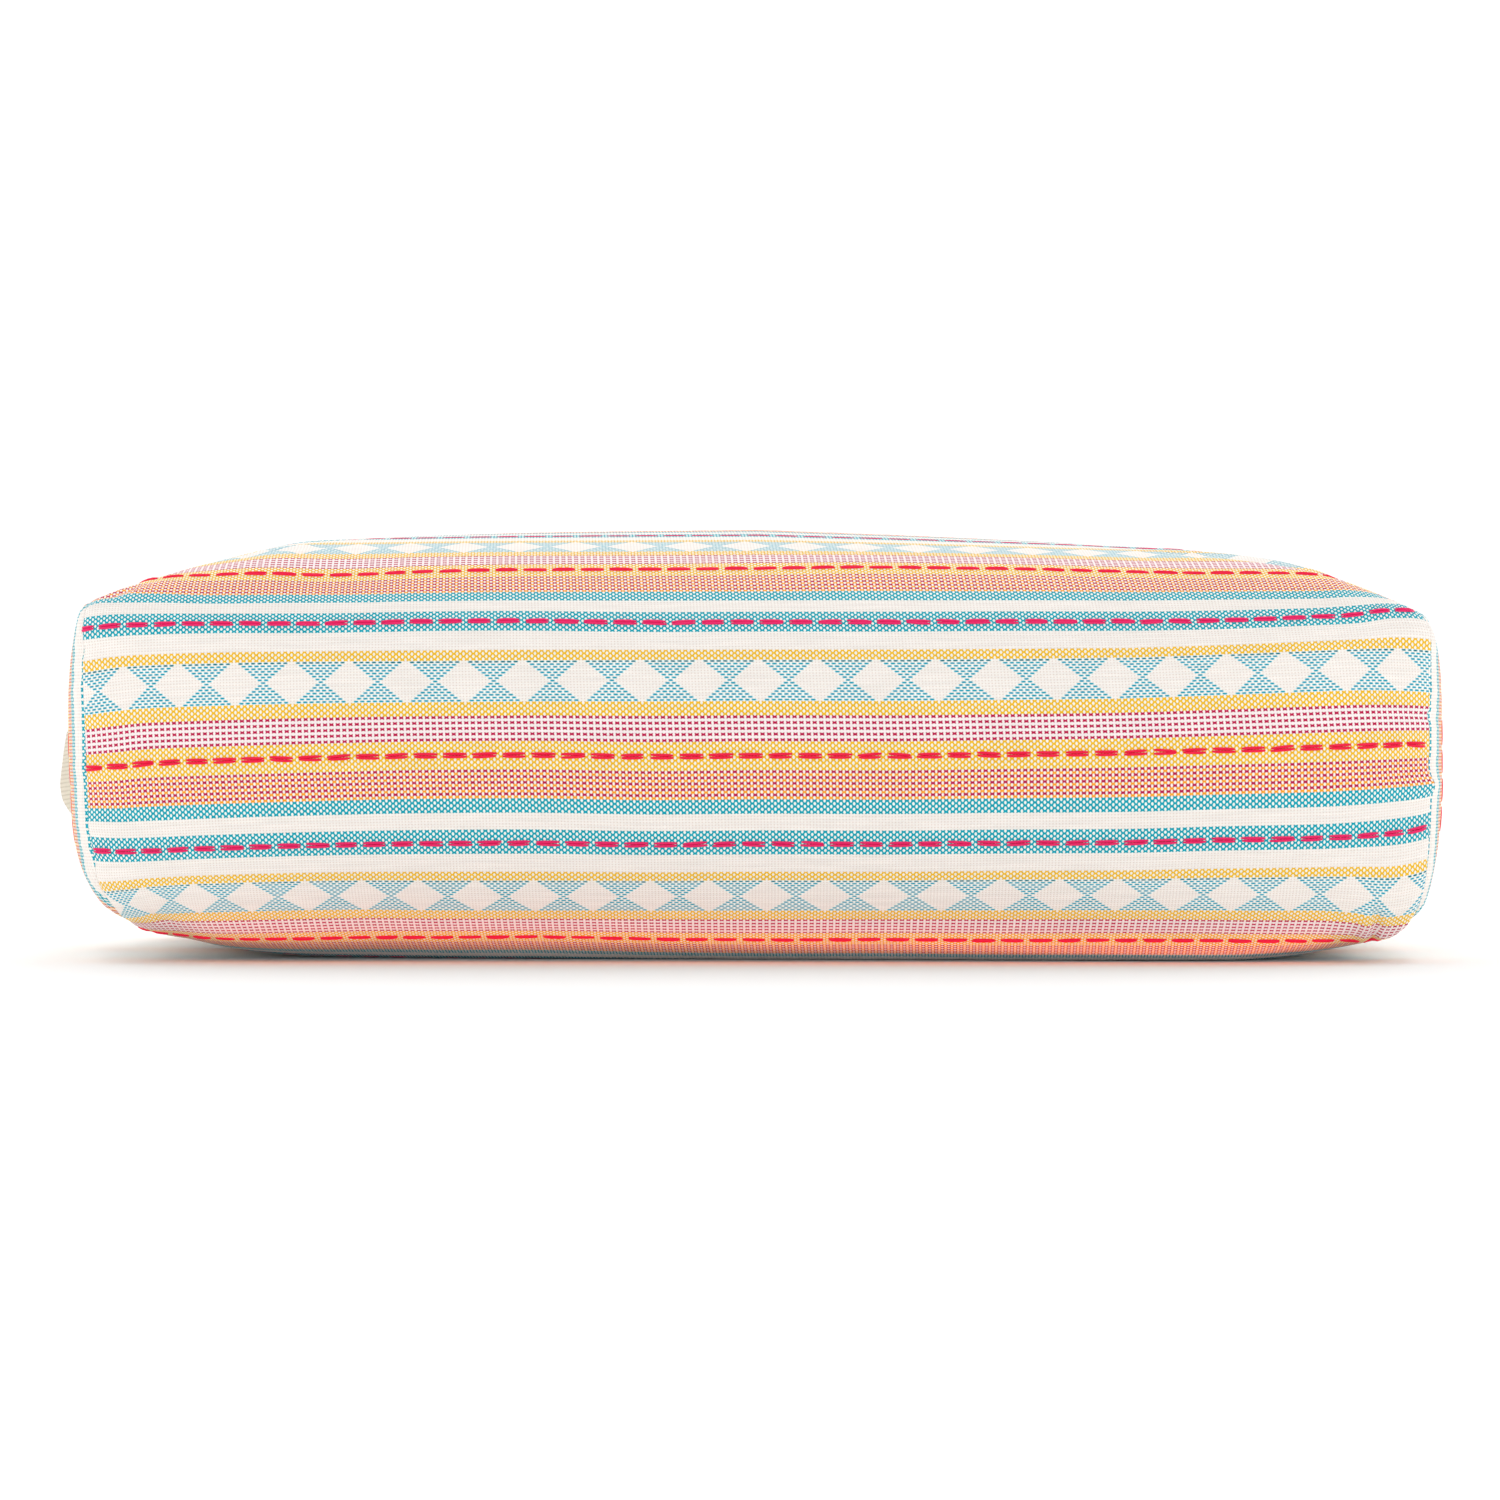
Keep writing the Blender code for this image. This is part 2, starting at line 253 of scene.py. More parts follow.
# How the warp fans out. Rows are places along the length, mm. The other columns say by how many ends
# the warp runs ahead of its even course there, at the picks of fanLines.
warpFan = (
    (-302, -2.0, -0.2, -0.4, -0.4, 0.6),
    (-252, -2.4, -1.2, -0.4, -1.2, -0.4),
    (-202, -2.0, -0.7, 0.0, -1.0, -0.4),
    (-151, 0.2, 0.4, 0.3, 0.0, 0.6),
    (-99, 1.1, 0.6, 0.1, 0.1, 1.3),
    (0, 1.4, 0.8, 0.2, 0.6, 2.6),
    (58, 1.2, 0.8, 0.0, 0.9, 3.0),
    (110, 1.1, 0.6, -0.1, 1.2, 3.7),
    (163, 2.1, 1.0, 0.1, 1.2, 4.6),
    (210, 3.4, 2.3, 0.0, 1.3, 5.3),
    (252, 4.6, 3.4, 0.4, 1.6, 5.5),
    (278, 4.2, 2.6, 0.3, 1.2, 2.8),
    (302, 2.4, -0.6, 0.3, 1.0, -1.0),
)
cloth = {
    "fanLines": (-46.0, -15.0, 34.0, 65.0, 114.0),
    "courseLines": (-46.0, -28.5, -15.0, 0.0, 34.0, 65.0, 97.5, 114.0),  # the same lines, in picks
    "topLine": (-95.0, -160.0),  # a ninth line over the top: its pick, and mm down the cloth
    "repeat": 80,  # picks in one repeat of the stripes
    "pick": 0.001274,  # one weft pick
    "end": 0.001465,  # one warp end
    "dashEnds": 9,  # warp ends from one dash to the next
    "dashOffset": 5.0,  # end at the middle of a dash, here of the one numbered firstDash
    "firstDash": 2.0,
    "lean": 0.0414,  # ends that the warp leans for each pick away from leanLine
    "leanLine": 34.0,
    "dashLines": (34.0, 65.0),  # picks at which the raised dashes lie
    "everywhere": (1.0, -1.0, 1.0),  # a line's dashes: how high they stand from one place to another, m
    "lowLines": {  # the same for lines, by their picks, whose dashes stand less high
        -46.0: (1.0, -0.286, 0.272),
        -95.0: (0.42, -0.216, 0.220),
        -126.0: (0.1, 0.0, 0.0),
        145.0: (0.2, 0.0, 0.0),
    },
    "flatRise": 0.15,  # how high they stand elsewhere
}


# Values of one column of the section table at places measured from the seam, for either side
def sectionValue(name, fromSeam, side):
    if name in sectionColumns:
        return tableValue(cushion["sections"], fromSeam, sectionColumns.index(name))
    return sidedValue(cushion["sections"], fromSeam, side, sectionColumns.index(name + "Left"))


# Small steps of a seam: a bell curve over the height for each of them
def seamKink(height, side):
    total = np.zeros(np.broadcast(height, side).shape)
    for end, centre, size, width in cushion["seamKinks"]:
        total = total + np.where(side * end > 0.0, size * np.exp(-((height - centre) / width) ** 2), 0.0)
    return total


# The wrap panel: each section is a superellipse whose crown, depth, underside and squareness follow
# the table, cut off by the floor. The end seams lean, and the lean fades out over drawReach.
# along goes from -1 to 1, angle is measured down from the front's fullest line.
def wrapSurface(along, angle):
    side = np.where(along < 0.0, -1.0, 1.0)[:, None]
    fromSeam = (halfLength - np.abs(along) * halfLength)[:, None]
    across = -np.cos(angle)[None, :]
    up = -np.sin(angle)[None, :]
    crown = sectionValue("crown", fromSeam, side) - fullest
    base = fullest - sectionValue("underside", fromSeam, side)
    power = np.where(up >= 0.0, sectionValue("topSquareness", fromSeam, side),
                     sectionValue("baseSquareness", fromSeam, side))
    radius = (np.abs(across) ** power + np.abs(up) ** power) ** (-1.0 / power)
    height = radius * up
    y = sectionValue("halfDepth", fromSeam, side) * radius * across
    z = fullest + np.where(up >= 0.0, crown, base) * height
    fade = np.maximum(0.0, 1.0 - fromSeam / cushion["drawReach"]) ** 2
    near = np.exp(-fromSeam / cushion["kinkReach"]) * (y < 0.0)
    draw = sidedValue(cushion["seamDraw"], height, side) * fade
    x = side * (halfLength - fromSeam - draw + seamKink(height, side) * near)
    return np.stack((x, y, np.maximum(z, 0.0)), axis=-1)


# The wrap panel's grid with even steps round each section. Gives the points, and for each of them
# how far down the cloth it lies from the front's fullest line.
def wrapGrid(size):
    even = np.linspace(-1.0, 1.0, size["stations"])
    along = even * (1.0 + size["crowding"]) - size["crowding"] * even ** 3
    join = math.radians(cushion["joinAngle"])
    angle = np.linspace(join - 2.0 * math.pi, join, cushion["outlineSteps"])
    fine = wrapSurface(along, angle)
    steps = np.linalg.norm(np.diff(fine, axis=1), axis=2)
    down = np.concatenate((np.zeros((len(along), 1)), np.cumsum(steps, axis=1)), axis=1)
    front = int(np.argmin(np.abs(angle)))
    down = down - down[:, front:front + 1]
    share = np.linspace(0.0, 1.0, size["columns"] + 1)
    target = down[:, :1] + (down[:, -1:] - down[:, :1]) * share
    points = np.empty(target.shape + (3,))
    for i in range(len(along)):
        for k in range(3):
            points[i, :, k] = np.interp(target[i], down[i], fine[i, :, k])
    return along, points, target


# The warp's fan at places x along the length, m, and at picks: linear between the table's lines
def fanShift(x, picks):
    count = len(cloth["fanLines"])
    x, picks = np.broadcast_arrays(x, picks)
    lines = np.stack([tableValue(warpFan, x * 1000.0, k + 1) for k in range(count)], axis=-1)
    at = np.interp(picks, cloth["fanLines"], np.arange(float(count)))
    low = np.minimum(at.astype(int), count - 2)[..., None]
    lower = np.take_along_axis(lines, low, axis=-1)[..., 0]
    upper = np.take_along_axis(lines, low + 1, axis=-1)[..., 0]
    return lower + (upper - lower) * (at - low[..., 0])


# Warp ends at a dash number along the fullest line, for a place along the length and a pick
def warpEnds(dash, x, picks):
    even = cloth["dashOffset"] + (dash - cloth["firstDash"]) * cloth["dashEnds"]
    return even - cloth["lean"] * (picks - cloth["leanLine"]) + fanShift(x, picks)


# Thread counts of the cloth at the grid: warp ends along the length, weft picks down the cloth.
# A pick runs through the places that the course table gives, evenly between them, and the warp
# leans a little against the picks.
def threadCounts(along, down):
    x = along * halfLength
    columns = range(1, len(cloth["courseLines"]) + 1)
    lines = np.stack([tableValue(stripeCourse, x * 1000.0, k) for k in columns], axis=1) / 1000.0
    top, topDown = cloth["topLine"]
    first = np.full((len(along), 1), topDown / 1000.0)
    knots = np.concatenate((down[:, :1], first, lines, down[:, -1:]), axis=1)
    middle = knots[len(along) // 2]
    upper = top - (middle[1] - middle[0]) / cloth["pick"]
    lower = cloth["courseLines"][-1] + (middle[-1] - middle[-2]) / cloth["pick"]
    counts = np.array((upper, top, *cloth["courseLines"], lower))
    picks = np.stack([smoothBetween(row, places, counts) for row, places in zip(down, knots)])
    dash = tableValue(dashPlaces, x * 1000.0)
    return warpEnds(dash[:, None], x[:, None], picks), picks


# Small even ripples along a seam: a sum of waves whose numbers round the seam are whole
def seamRipple(share, side):
    total = sum(size * np.sin(2.0 * math.pi * count * share + phase + side * cushion["waveShift"])
                for count, size, phase in cushion["waves"])
    return total / sum(size for _, size, _ in cushion["waves"])


# Distance from the middle of the length to the outside of an end panel at (y, z): the panel is
# fullest in its middle and falls by a power of the distance across and of the height. Close to the
# seam it falls by high powers of its distance from the middle as a share of the seam's, and a small
# share of it, the lip, falls only there. bulge, lip, dashHeights and dashRise have one value for the
# left panel and one for the right.
domes = {
    "bulge": (0.0232, 0.0195),
    "lip": (0.20, 0.15),  # share of the bulge that rises close to the seam
    "lipPower": 40.0,
    "edgePower": 24.0,
    "depthPower": 2.9,
    "topPower": 4.4,
    "footPower": 2.8,
    "leanPower": 4,  # by which the seam's lean fades out towards the middle
    "kinkFade": 0.09,  # share of the panel over which the seam's small steps fade out
    "dent": (0.0755, 0.0013, 0.013),  # behind the handle: height, depth, half width
    "rings": 44,
    "ringCrowding": 1.5,  # gathers the rings towards the seam, 1 leaves them even
    "courseSteps": 801,
    "pucker": (0.0008, 0.012),  # height of the ripples along the seam, and their reach
    "thickness": 0.0014,
    "firstPicks": (  # height, and the pick of the cloth at the front seam there: left, right
        (-1.00, 62.2, 61.8),
        (-0.80, 62.4, 61.5),
        (-0.58, 62.8, 61.5),
        (-0.38, 62.1, 61.8),
        (-0.15, 62.7, 61.5),
        (0.05, 62.6, 61.9),
        (0.25, 62.1, 62.2),
        (0.50, 61.7, 61.6),
        (0.75, 61.0, 61.2),
        (1.00, 60.4, 60.6),
    ),
    "dashHeights": (0.0987, 0.0780),  # height of one raised dash
    "dashSetBack": 1.0,  # picks
    "dashRise": (0.38, 0.6),  # share of a wrap dash's height
    "raisedHeights": (0.058, 0.108),  # between these the dashes stand up, elsewhere they lie flat
    "flatShare": 0.3,
    "dashClear": (0.006, 0.93),  # from the seam across, and share of the height, that they keep to
}


# Outline of an end seam: half depth, top and foot measured from the fullest line, their squareness
def seamOutline(side):
    halfDepth, crown, underside, topPower, footPower = (
        float(sectionValue(name, 0.0, side))
        for name in ("halfDepth", "crown", "underside", "topSquareness", "baseSquareness"))
    return halfDepth, crown - fullest, fullest - underside, topPower, footPower


def domeReach(side, y, z):
    halfDepth, crown, base, topPower, footPower = seamOutline(side)
    above = z >= fullest
    power = np.where(above, topPower, footPower)
    across = np.abs(y) / halfDepth
    height = (z - fullest) / np.where(above, crown, base)
    ring = np.maximum((across ** power + np.abs(height) ** power) ** (1.0 / power), 1e-6)
    across, tall, rim = np.minimum(across, 1.0), np.minimum(np.abs(height), 1.0), np.minimum(ring, 1.0)
    dome = 1.0 - across ** domes["depthPower"]
    dome = dome * (1.0 - tall ** np.where(above, domes["topPower"], domes["footPower"]))
    bulge, lip = (domes[name][int(side > 0)] for name in ("bulge", "lip"))
    dome = (1.0 - lip) * dome * (1.0 - rim ** domes["edgePower"]) + lip * (1.0 - rim ** domes["lipPower"])
    lean = sidedValue(cushion["seamDraw"], height / ring, side) * ring ** domes["leanPower"]
    step = seamKink(height / ring, side) * np.exp((ring - 1.0) / domes["kinkFade"]) * (y < 0.0)
    level, depth, width = domes["dent"]
    dent = (side < 0) * depth * np.exp(-((z - level) / width) ** 2) * (1.0 - across ** 2)
    return halfLength - lean + step + bulge * dome - dent


# How far the cloth runs across an end panel, from its front seam to the places y, as a table
def domeCourse(side):
    depth = np.linspace(-1.0, 1.0, domes["courseSteps"]) * seamOutline(side)[0]
    profile = domeReach(side, depth, np.full(depth.shape, fullest))
    return depth, np.concatenate(([0.0], np.cumsum(np.hypot(np.diff(depth), np.diff(profile)))))


# Pick of the cloth at an end panel's front seam, at the heights z
def firstPick(side, z):
    return sidedValue(domes["firstPicks"], (z - fullest) / seamOutline(side)[1], side)


# Creases of the wrap panel by cloth simulation. A coarser grid of it is held at both seams and where
# it lies on the floor, and pressed from inside. It has more cloth near the seams than they take up.
creases = {
    "stations": 101,
    "crowding": 0.25,
    "columns": 240,
    "surplus": 0.030,  # share of a section's girth that is added at a seam
    "surplusReach": 0.035,
    "lyingBelow": 0.0005,  # height under which the cloth lies on the floor
    "settings": {
        "quality": 5, "mass": 0.3, "tension_stiffness": 15.0, "compression_stiffness": 15.0,
        "shear_stiffness": 5.0, "bending_stiffness": 0.5, "uniform_pressure_force": 4.0,
    },
    "frames": 20,
    "smoothing": 6,  # times that the average round the section is taken
    "cap": 0.0030,  # no point moves further than this
    "fadeIn": (0.002, 0.014),  # heights between which the creases begin
}


# How far the simulated cloth lies outside its own average round the section, at the stations along
# and at even steps round the section. The broad swelling is left out, as the sections have it already.
def simulateCreases():
    along, points, _ = wrapGrid(creases)
    fromSeam = halfLength - np.abs(along) * halfLength
    ring = points[:, :-1]
    index = np.arange(ring.shape[0] * ring.shape[1]).reshape(ring.shape[:2])
    mesh = bpy.data.meshes.new("crease_cloth")
    mesh.from_pydata(ring.reshape(-1, 3).tolist(), [], gridQuads(closeRound(index)).tolist())
    item = addObject("crease_cloth", mesh)
    item.shape_key_add(name="Basis")
    rest = item.shape_key_add(name="cut")
    more = (1.0 + creases["surplus"] * np.exp(-fromSeam / creases["surplusReach"]))[:, None]
    x, y, z = np.moveaxis(ring, -1, 0)
    cut = np.stack((x, y * more, fullest + (z - fullest) * more), axis=-1)
    rest.data.foreach_set("co", cut.astype(np.float32).ravel())
    held = item.vertex_groups.new(name="held")
    still = (fromSeam < 1e-6)[:, None] | (z < creases["lyingBelow"])
    held.add(np.flatnonzero(still.ravel()).tolist(), 1.0, "REPLACE")
    sim = item.modifiers.new("cloth", "CLOTH")
    for key, value in creases["settings"].items():
        setattr(sim.settings, key, value)
    sim.settings.vertex_group_mass = "held"
    sim.settings.rest_shape_key = rest
    sim.settings.use_pressure = True
    sim.settings.effector_weights.gravity = 0.0
    sim.collision_settings.use_collision = False
    scene = bpy.context.scene
    for frameNumber in range(1, creases["frames"] + 1):
        scene.frame_set(frameNumber)
    moved = np.empty(ring.size, dtype=np.float32)
    item.evaluated_get(bpy.context.evaluated_depsgraph_get()).data.vertices.foreach_get("co", moved)
    scene.frame_set(1)
    bpy.data.objects.remove(item)
    bpy.data.meshes.remove(mesh)
    swell = ((moved.reshape(ring.shape) - ring) * gridNormals(ring, True)).sum(axis=2)
    even = swell
    for _ in range(creases["smoothing"]):
        even = (np.roll(even, 1, axis=1) + 2.0 * even + np.roll(even, -1, axis=1)) / 4.0
    crease = creases["cap"] * np.tanh((swell - even) / creases["cap"])
    crease = crease * softStep(z, *creases["fadeIn"])
    print("creases: swelling", round(float(np.abs(swell).max()) * 1000.0, 2), "mm, kept",
          round(float(np.abs(crease).max()) * 1000.0, 2), "mm")
    return along, closeRound(crease)


# Single folds near the seams: a bell curve over the distance from each one's line
def foldLift(along, down):
    x, s = along[:, None] * halfLength * 1000.0, down * 1000.0
    total = np.zeros(down.shape)
    for x0, s0, x1, s1, lift, width in cushion["folds"]:
        run, fall = x1 - x0, s1 - s0
        share = np.clip(((x - x0) * run + (s - s0) * fall) / (run ** 2 + fall ** 2), 0.0, 1.0)
        distance = np.hypot(x - x0 - share * run, s - s0 - share * fall)
        total = total + lift / 1000.0 * np.exp(-(distance / width) ** 2)
    return total


# A hidden end of the cushion, behind its end panel: the seam's edge drawn in to the middle
def hiddenEnd(side, edge):
    shares = np.array(cushion["capRings"])[:, None]
    y, z = edge[:, 1] * shares, fullest + (edge[:, 2] - fullest) * shares
    return np.stack((side * (domeReach(side, y, z) - cushion["capInset"]), y, z), axis=-1)


def makeCushion():
    along, points, down = wrapGrid(cushion)
    ends, picks = threadCounts(along, down)
    rims = points[[0, -1]]
    side = np.where(along < 0.0, -1.0, 1.0)[:, None]
    fromSeam = (halfLength - np.abs(along) * halfLength)[:, None]
    normals = gridNormals(points)
    # puckers of the seams, creases and single folds
    share = np.linspace(0.0, 1.0, cushion["columns"] + 1)
    height, reach = cushion["seamPucker"]
    begun = 1.0 - np.exp(-fromSeam / cushion["flatAtSeam"])
    pucker = height * seamRipple(share, side) * np.exp(-fromSeam / reach) * begun
    places, crease = simulateCreases()
    coarse = np.linspace(0.0, 1.0, crease.shape[1])
    crease = np.stack([np.interp(share, coarse, row) for row in crease])
    pucker = pucker + np.stack([np.interp(along, places, column) for column in crease.T], axis=1)
    pucker = pucker + foldLift(along, down) * begun
    points = points + normals * pucker[:, :, None]
    # the cloth turns in at both end seams, in the plane of the seam
    depth, reach = cushion["seamDip"]
    inward = unit(normals * np.array((0.0, -1.0, -1.0)))
    points = points + inward * (depth * np.exp(-fromSeam / reach))[:, :, None]
    # the join along the underside's back
    depth, reach = cushion["joinDip"]
    fromJoin = np.minimum(down - down[:, :1], down[:, -1:] - down)
    points = points - normals * (depth * np.exp(-fromJoin / reach))[:, :, None]
    points[:, :, 2] = np.maximum(points[:, :, 2], 0.0)
    points[:, -1] = points[:, 0]
    left, right = hiddenEnd(-1.0, points[0, :-1]), hiddenEnd(1.0, points[-1, :-1])
    rings = np.concatenate((left[-2::-1], points[:, :-1], right[:-1]))
    hidden = (len(left) - 1, len(right) - 1)
    counts = np.pad(np.stack((ends, picks), axis=-1), (hidden, (0, 0), (0, 0)), mode="edge")
    item = gridPiece("wrap_cushion", rings, counts, True, left[-1, 0], right[-1, 0])
    ride(item)
    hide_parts("bolster_body")
    return item, {"points": points, "rims": rims, "picks": picks, "along": along}


# A domed end panel in rings from its seam to its middle, with the stripes upright: the picks count
# from the front seam to the back one, the ends from the foot to the top
def makeEndPanel(side, grid):
    row, name = (0, "left") if side < 0 else (-1, "right")
    rim = grid["rims"][row]
    share = np.linspace(0.0, 1.0, cushion["columns"] + 1)
    ring = 1.0 - np.linspace(0.0, 1.0, domes["rings"] + 1)[:-1, None] ** domes["ringCrowding"]
    y, z = rim[:, 1] * ring, fullest + (rim[:, 2] - fullest) * ring
    points = np.stack((side * domeReach(side, y, z), y, z), axis=-1)
    fromSeam = np.linalg.norm(points - points[:1], axis=2)
    toEdge = grid["points"][row] - points[0]
    points = points + toEdge * np.exp(-fromSeam / cushion["edgeReach"])[:, :, None]
    height, reach = domes["pucker"]
    pucker = height * seamRipple(share, side) * np.exp(-fromSeam / reach)
    points[:, :, 0] += side * pucker * (1.0 - np.exp(-fromSeam / cushion["flatAtSeam"]))
    y, z = points[:, :, 1], points[:, :, 2]
    picks = firstPick(side, z) - np.interp(y, *domeCourse(side)) / cloth["pick"]
    ends = (z - domes["dashHeights"][int(side > 0)]) / cloth["end"] + cloth["dashOffset"]
    pole = (side * float(domeReach(side, 0.0, fullest)), 0.0, fullest)
    item = gridPiece("end_cloth_" + name, points[:, :-1], np.stack((ends, picks), axis=-1), True,
                     None, pole, side < 0)
    thicken(item, "cloth thickness", domes["thickness"], -1.0)
    ride(item)
    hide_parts("end_panel_" + name)
    return item


# The carry handle: a strap whose ends lie on the panel. Between them it bows out, rising by an S,
# and its two long edges curl back as the profile says.
handle = {
    "grid": (121, 41),  # points along the strap and across it
    "width": 0.045,
    "thickness": 0.0014,
    "halfSpan": 0.058,
    "tail": 0.013,
    "height": 0.0835,
    "droop": 0.0015,
    "bow": 0.0128,
    "profile": (  # across the strap from its lower edge (-1) to its upper one (1): share of the bow
        (-1.00, 0.05),
        (-0.82, 0.33),
        (-0.65, 0.69),
        (-0.56, 0.80),
        (-0.39, 0.95),
        (-0.15, 1.00),
        (0.12, 0.925),
        (0.38, 0.83),
        (0.64, 0.75),
        (1.00, 0.63),
    ),
    "rise": 0.046,
    "gap": 0.0003,
    "boxPlace": 0.0645,  # middle of a box of stitches along the strap
    "boxHalf": (0.0050, 0.0185),  # half its length and width
    "boxLine": (0.04, 0.10),  # where the line's edge begins and ends, as a share of the box
    "stitch": 0.0030,
    "stitchEnd": (0.08, 0.16),  # where a stitch begins, as shares of its length
    "ribs": 0.0019,  # from one lengthwise rib of the webbing to the next
    "steps": 0.0012,  # from one pick to the next
    # the cream webbing's two tones, both set darker than the cream itself as painted shade for the shade
    # at the left end
    "web": (linear(204, 193, 174), linear(222, 212, 194)),
    "thread": linear(136, 122, 102),
    "bump": (0.6, 0.0005),  # strength and height
}


def makeHandle():
    lengthwise, crosswise = (np.linspace(-1.0, 1.0, count) for count in handle["grid"])
    y, w = np.meshgrid(lengthwise * (handle["halfSpan"] + handle["tail"]), crosswise, indexing="ij")
    rise = softStep(handle["halfSpan"] - np.abs(y), 0.0, handle["rise"])
    acrossStrap = w * handle["width"] / 2.0
    z = handle["height"] - handle["droop"] * rise + acrossStrap
    bow = handle["bow"] * rise * tableValue(handle["profile"], w)
    x = -(domeReach(-1.0, y, z) + handle["gap"] + bow)
    item = gridPiece("handle_strap", np.stack((x, y, z), axis=-1), np.stack((y, acrossStrap), axis=-1))
    thicken(item, "strap thickness", handle["thickness"], 1.0)
    ride(item)
    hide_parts("carry_handle")
    return item


# Short ways to build a node tree
class Nodes:
    def __init__(self, tree):
        self.tree = tree

    def add(self, kind, **settings):
        node = self.tree.nodes.new(kind)
        for key, value in settings.items():
            setattr(node, key, value)
        return node

    # links a socket or sets a value, and feed does so for several inputs by name or number
    def put(self, socket, value):
        if hasattr(value, "is_output"):
            self.tree.links.new(value, socket)
        else:
            socket.default_value = value

    def feed(self, node, values):
        for key, value in values.items():
            self.put(node.inputs[key], value)
        return node.outputs[0] if node.outputs else node

    def math(self, operation, a, b=0.0, c=0.0):
        return self.feed(self.add("ShaderNodeMath", operation=operation), {0: a, 1: b, 2: c})

    def plus(self, a, b):
        return self.math("ADD", a, b)

    def minus(self, a, b):
        return self.math("SUBTRACT", a, b)

    def times(self, a, b):
        return self.math("MULTIPLY", a, b)

    def over(self, a, b):
        return self.math("DIVIDE", a, b)

    def size(self, value):
        return self.math("ABSOLUTE", value)

    # a wave that is 0 on whole numbers and 1 halfway between them
    def bumps(self, value):
        return self.size(self.math("SINE", self.times(value, math.pi)))

    def mix(self, factor, a, b, blend="MIX"):
        node = self.add("ShaderNodeMix", data_type="RGBA", blend_type=blend)
        self.feed(node, {0: factor, 6: a, 7: b})
        return node.outputs[2]

    def span(self, value, low, high, toLow=0.0, toHigh=1.0, smooth=True):
        node = self.add("ShaderNodeMapRange", interpolation_type="SMOOTHSTEP" if smooth else "LINEAR")
        return self.feed(node, {0: value, 1: low, 2: high, 3: toLow, 4: toHigh})

    def split(self, value, kind="XYZ"):
        node = self.add("ShaderNodeSeparate" + kind)
        self.feed(node, {0: value})
        return node.outputs

    def noise(self, place, scale, detail, low, high):
        node = self.add("ShaderNodeTexNoise", noise_dimensions="2D")
        self.feed(node, {"Vector": place, "Scale": scale, "Detail": detail})
        return self.span(node.outputs["Fac"], 0.3, 0.7, low, high, smooth=False)


weave = {
    "warp": linear(250, 245, 239),
    "white": linear(248, 243, 238),
    "pink": linear(255, 238, 243),
    "yellow": linear(244, 188, 18),
    "orange": linear(255, 162, 30),
    "blue": linear(0, 158, 184),
    "diamond": linear(10, 156, 184),
    "firstRow": linear(10, 112, 128),
    "halo": linear(206, 251, 255),
    "crimson": linear(184, 4, 60),
    "gapShade": linear(214, 190, 180),  # painted shade: multiplies the colour in the gaps between threads, where shade falls
    "gapShadeShare": 0.5,
    "oval": (0.36, 0.56),  # half width of a white thread in ends, and half its height in picks
    "ovalEdge": (0.5, 2.4),  # where the white thread's edge begins and ends, 1 being the oval itself
    "tintPower": 0.35,  # the edge takes the colour beside it, lightened by this power
    "dashOval": (0.66, 0.30),  # the same for a short blue dash between the diamonds
    "dashEdge": (0.7, 1.5),
    "haloEdge": (1.0, 2.6),  # of the pale blue round it
    "uneven": 0.22,  # how much single threads differ
    "yarnScale": 0.9,
    "streaks": (0.955, 1.03),  # tones of the fine streaks along the picks
    "streakLength": 20.0,  # warp ends
    "centreEnd": 9.0,  # end at the middle of an hourglass, and half the ends from one to the next
    "centrePick": 7.0,  # pick across its waist
    "waist": 0.95,  # ends from its middle to its edge there
    "bands": (  # first pick, colour, and marks: crimson on even picks, crimson on odd ones, diamonds
        (0, "white", (0, 0, 1)),
        (15, "yellow", (0, 0, 0)),
        (20, "pink", (1, 0, 0)),
        (29, "yellow", (0, 0, 0)),  # with the red dashes
        (39, "orange", (0, 1, 0)),
        (49, "blue", (0, 0, 0)),
        (54, "white", (0, 0, 0)),
        (60, "blue", (0, 0, 0)),  # with the crimson dashes
        (69, "white", (0, 0, 0)),
        (76, "yellow", (0, 0, 0)),
    ),
    "bump": (0.35, 0.0004),  # strength and height
}


